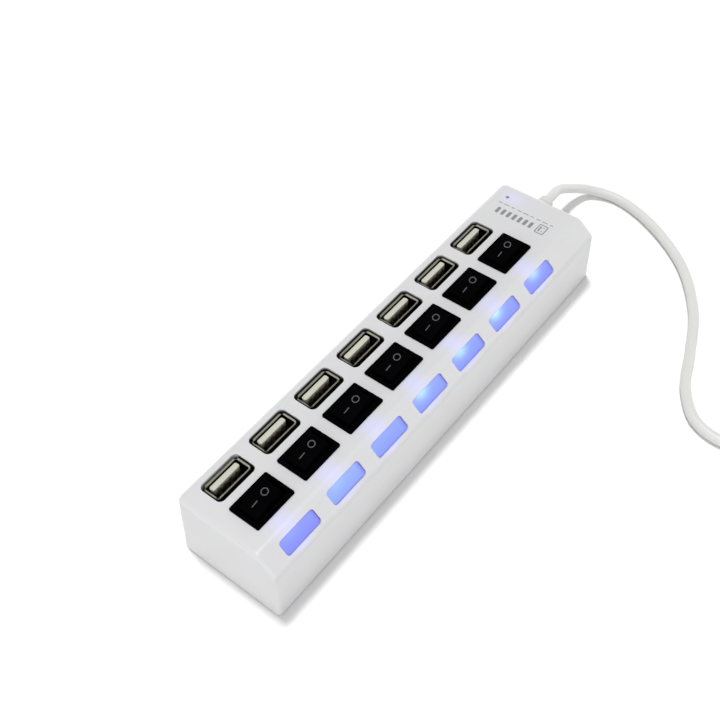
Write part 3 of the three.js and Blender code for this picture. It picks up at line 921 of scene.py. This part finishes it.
def socket_shell():
    """A drawn sleeve with a flared mouth, notched at three corners so that its lips stand apart."""
    sheet = [(-offset, z) for offset, z in socket_sheet()]
    bm = loft(rings_of(OPEN_X, OPEN_Y, OPEN_RADIUS, sheet), closed=True)
    for side_x, side_y, width in LIP_NOTCHES:
        notch = block(NOTCH_LENGTH, width, 0.2, SOCKET_MOUTH - NOTCH_DEPTH, SOCKET_MOUTH + 1)
        corner = shift(side_x * (OPEN_X / 2 + NOTCH_OUT), side_y * (OPEN_Y / 2 + NOTCH_OUT))
        bm = combined(bm, moved(notch, corner @ turn(45 * side_x * side_y, "Z")))
    return bm


def tongue():
    base = block(OPEN_X - 0.4, OPEN_Y - 0.4, 0.3, SOCKET_SEAT, SOCKET_SEAT + TONGUE_BASE)
    blade = block(TONGUE_X, TONGUE_Y, 0.6, SOCKET_SEAT + 1, TONGUE_TOP, top=0.2)
    return combined(base, moved(blade, shift(0, TONGUE_OFFSET)), "UNION")


def spring_contact():
    """One sprung strip on the tongue's open side: it bulges near the top and its tip is tucked in."""
    half, thick, steps = 0.5, 0.2, 24
    face = TONGUE_OFFSET - TONGUE_Y / 2
    low_z, high_z = SOCKET_SEAT + TONGUE_BASE + 0.1, TONGUE_TOP - 1.0
    rings = []
    for k in range(steps + 1):
        t = k / steps
        z = low_z + t * (high_z - low_z)
        out = 0.62 * math.exp(-(((t - 0.78) / 0.13) ** 2)) + 0.12 if t <= 0.96 else -0.05
        front, back = face - out, face - out + thick
        rings.append([(-half, front, z), (half, front, z), (half, back, z), (-half, back, z)])
    return loft(rings)


def build_sockets(metal, insulator, contact):
    for n, x in enumerate(port_x, 1):
        at = shift(x, SOCKET_Y)
        sleeve, blade = moved(socket_shell(), at), moved(tongue(), at)
        springs = moved(at_spots([(dx, 0) for dx in CONTACT_SPOTS], spring_contact), at)
        piece(f"socket_sleeve_{n}", sleeve, metal, replaces=f"port_shell_{n}")
        piece(f"socket_blade_{n}", blade, insulator, replaces=f"port_tongue_{n}")
        piece(f"socket_contacts_{n}", springs, contact)


# ---------- switches


def housing():
    """Body, bezel and well as one skin."""
    seat = TOP + 0.1
    bezel_radius, well_radius = 0.55, 0.4
    profile = [(BODY_X, BODY_Y, 0.3, BODY_LOW), (BODY_X, BODY_Y, 0.3, seat)]
    profile.append((BEZEL_X, BEZEL_Y, bezel_radius, seat))
    for inset, drop in ease_steps(0.4):
        profile.append((BEZEL_X - 2 * inset, BEZEL_Y - 2 * inset, bezel_radius, BEZEL_TOP - drop))
    for inset, drop in reversed(ease_steps(-0.3)):
        profile.append((WELL_X - 2 * inset, WELL_Y - 2 * inset, well_radius, BEZEL_TOP - drop))
    profile.append((WELL_X, WELL_Y, well_radius, BODY_LOW + WELL_FLOOR))
    rings = []
    for width, height, radius, z in profile:
        rings.append([(x, y, z) for x, y in rounded(width, height, radius)])
    return loft(rings)


def solder_blade():
    return block(0.6, 2.0, 0.1, box_mm("main_board")[1].z + 0.1, BODY_LOW + 0.5, low=0.1)


def rocker_top(x):
    """Height of the rocker's hollowed top above its pivot."""
    return ROCKER_VALLEY + (ROCKER_END - ROCKER_VALLEY) * (x / ROCKER_HALF) ** 2


def rocker_outline():
    """The rocker from the side (x, z), from the lower left, under the keel and back over the top."""
    reach, steps = ROCKER_HALF - 0.9, 20
    keel = [(-ROCKER_HALF, 0.3, 0.4), (-2.4, -1.6, 0.5), (2.4, -1.6, 0.5), (ROCKER_HALF, 0.3, 0.4)]
    across = [reach - 2 * reach * k / steps for k in range(steps + 1)]
    top = [(x, rocker_top(x), 0) for x in across]
    ends = [(ROCKER_HALF, ROCKER_END, 0.5), (-ROCKER_HALF, ROCKER_END, 0.5)]
    return filleted([*keel, ends[0], *top, ends[1]])


def rocker_body():
    outline, ease = rocker_outline(), 0.35
    sides = [(inset, drop - ROCKER_HALF_WIDTH) for inset, drop in reversed(ease_steps(ease))]
    sides += [(inset, ROCKER_HALF_WIDTH - drop) for inset, drop in ease_steps(ease)]
    return loft([[(x, y, z) for x, z in inset_outline(outline, inset)] for inset, y in sides])


def rocker():
    """Cap, pivot pins and plunger."""
    pins = moved(rod(PIN_RADIUS, -PIN_REACH, PIN_REACH, 24), turn(90, "X"))
    tip = [(0, -PLUNGER_TIP), (0.7, 0.2 - PLUNGER_TIP), (PLUNGER_RADIUS, 0.8 - PLUNGER_TIP)]
    plunger = turned([*tip, (PLUNGER_RADIUS, -1.2)], 24)
    return combined(combined(rocker_body(), pins, "UNION"), plunger, "UNION")


RING_AT = 2.35
RING_OUTER, RING_INNER = 1.16, 0.89
DASH_AT = -1.95
DASH_LENGTH, DASH_WIDTH = 2.3, 0.28
MARK_SUNK, MARK_LIFT = -0.05, 0.03


def on_rocker(middle, outline, lift):
    """An outline laid on the rocker's top, lifted off it."""
    return [(middle + x, y, rocker_top(middle + x) + lift) for x, y in outline]


def ring_mark():
    """A thin ring that follows the rocker's top."""
    outer, inner = circle(RING_OUTER, 40), circle(RING_INNER, 40)
    outside = [on_rocker(RING_AT, outer, lift) for lift in (MARK_SUNK, MARK_LIFT)]
    inside = [on_rocker(RING_AT, inner, lift) for lift in (MARK_LIFT, MARK_SUNK)]
    return loft(outside + inside, closed=True)


def dash_mark():
    outline = rounded(DASH_LENGTH, DASH_WIDTH, 0.1)
    return loft([on_rocker(DASH_AT, outline, lift) for lift in (MARK_SUNK, MARK_LIFT)])


def build_switches(black, mark):
    joints = {joint["child"]: joint for joint in frame["joints"]}
    for n, x in enumerate(port_x, 1):
        blades = at_spots([(dx, 0) for dx in BLADE_SPOTS], solder_blade)
        body = moved(together(housing(), blades), shift(x, SWITCH_Y))
        piece(f"switch_frame_{n}", body, black, replaces=f"switch_housing_{n}")
        node = f"rocker_{n}"
        joint = joints[node]
        tilt = math.radians(sum(joint["range_deg"]) / 2)
        pivot = Matrix.Translation(Vector(joint["pos_m"]) / MM)
        place = pivot @ Matrix.Rotation(-tilt, 4, Vector(joint["axis"]))
        cap, marks = moved(rocker(), place), moved(together(ring_mark(), dash_mark()), place)
        piece(f"rocker_cap_{n}", cap, black, node, replaces=node)
        piece(f"rocker_marks_{n}", marks, mark, node)


# ---------- lights

# From the near end to the far end: how bright each lamp shows, how cool its lens is, and where the
# bright spot lies along X from the middle of the window.
LAMP_LEVELS = (0.1, 0.2, 0.05, 0.85, 0.85, 1.0, 0.8)
COOL_LEVELS = (0.0, 1.0, 0.6, 0.55, 0.4, 0.4, 0.15)
SPOT_X = (-2.3, -2.3, -2.3, -2.3, -2.3, -2.8, -1.0)


def lens():
    profile = wall_profile(-WALL - 0.75, -LENS_RECESS, top=0.3)
    size_x, size_y = WINDOW_X - 2 * LENS_GAP, WINDOW_Y - 2 * LENS_GAP
    return loft(rings_of(size_x, size_y, WINDOW_RADIUS - LENS_GAP, profile))


def lens_rail():
    """The strip behind the sloping wall that joins the lenses."""
    top = -WALL - 0.25
    rail = block(port_x[-1] - port_x[0] + WINDOW_X + 1.2, 5.4, 0.3, top - 1.0, top)
    return moved(rail, on_facet((port_x[0] + port_x[-1]) / 2))


def build_lenses(material):
    """Seven lenses on one rail; each keeps the values that its finish reads."""
    lenses = bmesh.new()
    layers = [lenses.verts.layers.float.new(name) for name in ("lamp", "cool", "lamp_x")]
    for x, lit, cool, spot in zip(port_x, LAMP_LEVELS, COOL_LEVELS, SPOT_X):
        before = len(lenses.verts)
        add_to(lenses, moved(lens(), on_facet(x)))
        lenses.verts.ensure_lookup_table()
        for vert in lenses.verts[before:]:
            for layer, value in zip(layers, (lit, cool, spot * MM)):
                vert[layer] = value
    add_to(lenses, lens_rail())
    piece("window_lenses", lenses, material, replaces="light_strip")


# ---------- printed marks

PRINT_LOW, PRINT_HIGH = TOP - 0.1, TOP + 0.02
BARS_X, SIGN_X, DASHES_X = 67.3, 67.5, 70.9
SIGN_Y = -5.2


def printed_bar(width, height, x, y, radius=0.15):
    return block(width, height, radius, PRINT_LOW, PRINT_HIGH, at=(x, y))


def outline_bar(width, height, line, x, y, radius):
    """A printed rounded frame."""
    profile = ((0, PRINT_LOW), (0, PRINT_HIGH), (line, PRINT_HIGH), (line, PRINT_LOW))
    return moved(loft(rings_of(width, height, radius, profile), closed=True), shift(x, y))


def socket_sign():
    """A small front view of a plug: a frame, a tongue and two square holes."""
    holes = [printed_bar(0.45, 0.5, SIGN_X + dx, SIGN_Y - 0.5, 0.05) for dx in (-0.9, 0.9)]
    return [
        outline_bar(4.4, 3.4, 0.38, SIGN_X, SIGN_Y, 0.5),
        printed_bar(2.6, 0.55, SIGN_X, SIGN_Y + 0.6),
        *holes,
    ]


def build_print(material):
    """Plain bars beside the last socket, a small socket sign and a row of short dashes."""
    bars = [printed_bar(2.8, 1.15, BARS_X, 11.7 - 2.15 * k) for k in range(7)]
    lengths = (1.5, 2.1, 1.2)
    dashes = [printed_bar(0.32, lengths[k % 3], DASHES_X, 13.0 - 2.5 * k, 0.1) for k in range(9)]
    piece("top_print", together(*bars, *socket_sign(), *dashes), material)


# ---------- cable and plug

CURVE_STEPS = 18

# The boot, with radii and lengths measured along it from the casing's end wall.
BOOT_BORE = 1.95
BOOT_NECK, BOOT_FLANGE, BOOT_FLANGE_LENGTH = 2.8, 4.2, 1.4
BOOT_START, BOOT_LENGTH, BOOT_RIBS = 0.25, 7.0, 3
BOOT_THICK, BOOT_THIN, BOOT_GROOVE = 3.1, 2.6, 0.35

GRIP_BORE = 1.9
GRIP_WAIST_AT, GRIP_WAIST_RADIUS, GRIP_WAIST_DEPTH = GRIP_LENGTH * 0.42, 20.0, 0.8
BLADE_THICK = 1.75
LATCH_AT, LATCH_SIDE = 6.2, 2.3


def plug_place():
    return Matrix.Translation(PLUG_BACK) @ Matrix.Rotation(PLUG_HEADING, 4, "Z")


def plug_axis(distance, z):
    """A point on the plug's axis, behind the back of its grip."""
    x, y, _ = plug_place() @ Vector((-distance, 0, 0))
    return Vector((x, y, z))


def cable_guides():
    """Where the cable goes: out of the end, down to the desk, round, and along to its plug."""
    hanging = [
        (74, CABLE_Y, CABLE_Z), (82, CABLE_Y, CABLE_Z), (89.5, CABLE_Y + 0.1, CABLE_Z - 0.1),
        (98, 6.2, 14.4), (108, 6.8, 7.8), (116.2, 3.4, 3.2),
    ]
    lying = [
        (119.6, -6), (116.2, -20.5), (103.4, -41.3), (86, -55.4), (70, -62.6),
        (54.6, -69), (44.8, -78), (43.6, -90), (53, -102), (72, -106),
    ]
    guides = [Vector(p) for p in hanging] + [Vector((*p, CABLE_FLOOR)) for p in lying]
    axis_z = GRIP_HEIGHT / 2
    guides += [plug_axis(58, CABLE_FLOOR), plug_axis(34, CABLE_FLOOR + 0.9)]
    guides += [plug_axis(12, axis_z), plug_axis(2, axis_z)]
    return guides


def between(p, q, start, end, t):
    """The point that goes from p to q while t goes from start to end."""
    return p * ((end - t) / (end - start)) + q * ((t - start) / (end - start))


def smooth_path(guides):
    """Points along a centripetal Catmull-Rom curve through the guides."""
    ends = [guides[0] * 2 - guides[1]] + guides + [guides[-1] * 2 - guides[-2]]
    path = []
    for four in zip(ends, ends[1:], ends[2:], ends[3:]):
        times = [0.0]
        for p, q in zip(four, four[1:]):
            times.append(times[-1] + math.sqrt((q - p).length))
        for k in range(CURVE_STEPS):
            t = times[1] + (times[2] - times[1]) * k / CURVE_STEPS
            a = [between(four[i], four[i + 1], times[i], times[i + 1], t) for i in range(3)]
            b = [between(a[i], a[i + 1], times[i], times[i + 2], t) for i in range(2)]
            path.append(between(*b, times[1], times[2], t))
    path.append(guides[-1])
    return path


def build_cable(vinyl):
    body = swept(smooth_path(cable_guides()), CABLE_RADIUS)
    piece("cable_jacket", body, vinyl, replaces="cable")


def boot_profile():
    """(z, radius, fillet) corners of the ribbed sleeve, z from the casing's end wall outwards."""
    inside = -WALL - 0.4
    flange = inside - BOOT_FLANGE_LENGTH
    corners = [(flange, BOOT_BORE, 0), (flange, BOOT_FLANGE, 0.2), (inside, BOOT_FLANGE, 0.2)]
    corners += [(inside, BOOT_NECK, 0.1), (BOOT_START, BOOT_NECK, 0.1)]
    step = BOOT_LENGTH / BOOT_RIBS
    for k in range(BOOT_RIBS):
        radius = BOOT_THICK + (BOOT_THIN - BOOT_THICK) * k / (BOOT_RIBS - 1)
        start = BOOT_START + k * step
        corners += [(start, radius, 0.2), (start + step * 0.6, radius, 0.25)]
        if k < BOOT_RIBS - 1:
            groove = radius - BOOT_GROOVE
            corners += [(start + step * 0.7, groove, 0.1), (start + step, groove, 0.1)]
    end = BOOT_START + BOOT_LENGTH
    return corners + [(end, BOOT_THIN, 0.4), (end, BOOT_BORE, 0.1)]


def build_boot(vinyl):
    profile = [(radius, z) for z, radius in filleted(boot_profile(), 4)]
    wall_x = HALF_LENGTH + END_DRAFT * (1 - CABLE_Z / TOP)
    body = moved(turned(profile, 48, closed=True), along_x((wall_x, CABLE_Y, CABLE_Z)))
    piece("cable_boot", body, vinyl, replaces="strain_relief")


def grip_half_width(x):
    """Half the grip's width at x along it: narrower round the waist."""
    rise = GRIP_WAIST_RADIUS - math.sqrt(GRIP_WAIST_RADIUS**2 - (x - GRIP_WAIST_AT) ** 2)
    return GRIP_WIDTH / 2 - max(GRIP_WAIST_DEPTH - rise, 0)


def grip_body():
    """The moulded grip, waisted for the fingers, lofted along its length."""
    stations = [(drop, inset) for inset, drop in reversed(ease_steps(1.0))]
    stations += [(1.5 + 0.75 * k, 0) for k in range(30)]
    stations += [(GRIP_LENGTH - drop, inset) for inset, drop in ease_steps(0.8)]
    rings = []
    for x, inset in stations:
        width = 2 * (grip_half_width(x) - inset)
        outline = rounded(width, GRIP_HEIGHT - 2 * inset, 2.4 - inset, 8)
        rings.append([(x, y, z) for y, z in outline])
    return loft(rings)


def grip_tail():
    """The tapering sleeve where the cable enters the grip."""
    outside = [(2.3, -7), (2.5, -6.8), (2.6, -6.4), (2.8, -3.5), (3.1, -1.2), (3.3, 1.0)]
    profile = [(GRIP_BORE, -7), *outside, (GRIP_BORE, 1.0)]
    return moved(turned(profile, closed=True), turn(90, "Y"))


def build_grip(vinyl):
    size_z, size_y = PLUG_SHELL_Y + 0.5, PLUG_SHELL_X + 0.5
    pocket_back = GRIP_LENGTH - PLUG_INSIDE - 0.5
    pocket = block(size_z, size_y, PLUG_SHELL_RADIUS, pocket_back, GRIP_LENGTH + CUT_PAST)
    bore = rod(GRIP_BORE, -2, 5)
    body = combined(grip_body(), grip_tail(), "UNION")
    body = combined(body, moved(pocket, turn(90, "Y")))
    body = combined(body, moved(bore, turn(90, "Y")))
    piece("plug_body", moved(body, plug_place()), vinyl, replaces="plug_grip")


def build_plug_shell(metal):
    """A sheet sleeve with eased lips and a latch hole in its upper and lower side."""
    start, end = GRIP_LENGTH - PLUG_INSIDE, GRIP_LENGTH + PLUG_REACH
    lip, bevel = 0.15, 0.08
    outside = [(0, start), (0, end - lip), (bevel, end)]
    inside = [(SHEET - bevel, end), (SHEET, end - lip), (SHEET, start)]
    rings = rings_of(PLUG_SHELL_Y, PLUG_SHELL_X, PLUG_SHELL_RADIUS, outside + inside)
    bm = moved(loft(rings, closed=True), turn(90, "Y"))
    for side in (-1, 1):
        latches = block(2.2, 2.0, 0.15, -4, 4, at=(GRIP_LENGTH + LATCH_AT, side * LATCH_SIDE))
        bm = combined(bm, latches)
    piece("plug_sleeve", moved(bm, plug_place()), metal, replaces="plug_shell")


def along_plug(back, front, width, radius, z0, z1, y=0, **eases):
    """A block that lies along the plug from back to front."""
    return block(front - back, width, radius, z0, z1, at=((back + front) / 2, y), **eases)


def build_plug_tongue(insulator, contact):
    """The insulator, its root that fills the sleeve's back end, and four flat contacts on it."""
    low = -PLUG_SHELL_Y / 2 + 0.5
    top = low + BLADE_THICK
    back, front = GRIP_LENGTH - PLUG_INSIDE + 0.5, GRIP_LENGTH + PLUG_REACH - 0.6
    stop = GRIP_LENGTH - 1
    width = PLUG_SHELL_X - 1.0
    blade = along_plug(back, front, width, 0.2, low, top, low=0.1, top=0.15)
    root = along_plug(back, stop, width, 0.1, low, -low)
    body = moved(combined(blade, root, "UNION"), plug_place())
    piece("plug_blade", body, insulator, replaces="plug_tongue")
    strips = []
    for y in CONTACT_SPOTS:
        strips.append(along_plug(stop + 0.4, front - 0.8, 1.0, 0.15, top - 0.1, top + 0.06, y))
    piece("plug_contacts", moved(together(*strips), plug_place()), contact)


# ---------- CAD pieces shown as they are


def dress(name, material):
    """Gives a CAD solid its visible material."""
    node = frame["nodes"][name]
    node.data.materials.clear()
    node.data.materials.append(material)


def dress_inside():
    """The board and what stands on it are closed in, so the CAD solids show them well enough."""
    resin, steel, lamp, copper = resin_finish(), steel_finish(), lamp_finish(), copper_finish()
    dress("main_board", board_finish())
    for name in ("hub_chip_1", "hub_chip_2", "capacitor"):
        dress(name, resin)
    dress("crystal", steel)
    dress("power_led", lamp)
    for n in range(1, PORTS + 1):
        dress(f"status_led_{n}", lamp)
        dress(f"contact_lever_{n}", copper)


# ---------- stage, light and camera

FLOOR_COLOUR = (0.87, 0.87, 0.87)
FLOOR_SIZE = 6.0

# The surround's light, fading over HORIZON_REACH of the way up, and what the front adds to it.
HORIZON_LIGHT, ZENITH_LIGHT, HORIZON_REACH = 2.0, 0.30, 0.5
FRONT_LIGHT, FRONT_X, FRONT_Y = 0.85, -0.8, -0.6

LAMP_STRENGTH = 2.2
LAMP_SPREAD = math.radians(9.5)
LAMP_PLACE = (0.10, 0.17, 0.95)

CAMERA_PLACE = Vector((-0.16135, -0.12605, 0.26722))
CAMERA_TARGET = Vector((-0.0116, 0.00777, 0.025))
CAMERA_ROLL = math.radians(-4.05)
CAMERA_LENS = 52.69
CAMERA_SHIFT = 0.000694


def build_stage():
    """A plain pale floor under the object."""
    made = finish("pale_floor", FLOOR_COLOUR, 0.8, specular=0.0, spread=0.004, relief=0.0)
    mesh = bpy.data.meshes.new("floor")
    signs = ((-1, -1), (1, -1), (1, 1), (-1, 1))
    corners = [(x * FLOOR_SIZE, y * FLOOR_SIZE, cad_low.z) for x, y in signs]
    mesh.from_pydata(corners, [], [(0, 1, 2, 3)])
    mesh.materials.append(made.owner)
    show("floor", mesh)


def build_surround():
    """A white world, brightest low down and in front."""
    world = bpy.data.worlds.new("surround")
    made = Wiring(world, "Background", "Generated")
    x, y, z = made.axes()
    up = made.span(z, 0.0, HORIZON_REACH, HORIZON_LIGHT, ZENITH_LIGHT, "LINEAR")
    facing = made.math("ADD", made.product(x, FRONT_X), made.product(y, FRONT_Y))
    front = made.span(facing, 0.0, 1.0, 0.0, FRONT_LIGHT, "LINEAR")
    made.put("Color", (1.0, 1.0, 1.0))
    made.put("Strength", made.math("ADD", up, front))
    bpy.context.scene.world = world


def build_lamp():
    """One soft light high up behind the hub."""
    data = bpy.data.lights.new("soft_light", "SUN")
    data.angle = LAMP_SPREAD
    data.energy = LAMP_STRENGTH
    lamp = show("soft_light", data)
    lamp.location = LAMP_PLACE
    lamp.rotation_mode = "QUATERNION"
    lamp.rotation_quaternion = (-lamp.location).to_track_quat("-Z", "Y")


def build_camera():
    """Above the near end and the light side, looking along the hub."""
    data = bpy.data.cameras.new("camera")
    data.lens = CAMERA_LENS
    data.clip_start = 0.01
    data.shift_x = -CAMERA_SHIFT
    data.shift_y = CAMERA_SHIFT
    camera = show("camera", data)
    aim = (CAMERA_TARGET - CAMERA_PLACE).to_track_quat("-Z", "Y").to_matrix().to_4x4()
    roll = Matrix.Rotation(CAMERA_ROLL, 4, "Z")
    camera.matrix_world = Matrix.Translation(CAMERA_PLACE) @ aim @ roll
    bpy.context.scene.camera = camera


# ---------- put it together

white = casing_finish()
vinyl = vinyl_finish()

build_casing(white)
build_cover(white)
build_screws(steel_finish())
build_sockets(socket_metal_finish(), socket_insulator_finish(), socket_contact_finish())
build_switches(black_finish(), mark_finish())
build_lenses(lens_finish())
build_print(print_finish())
build_cable(vinyl)
build_boot(vinyl)
build_grip(vinyl)
build_plug_shell(plug_metal_finish())
build_plug_tongue(plug_insulator_finish(), plug_contact_finish())
dress_inside()
build_stage()
build_surround()
build_lamp()
build_camera()
bpy.context.scene.view_settings.view_transform = "Standard"
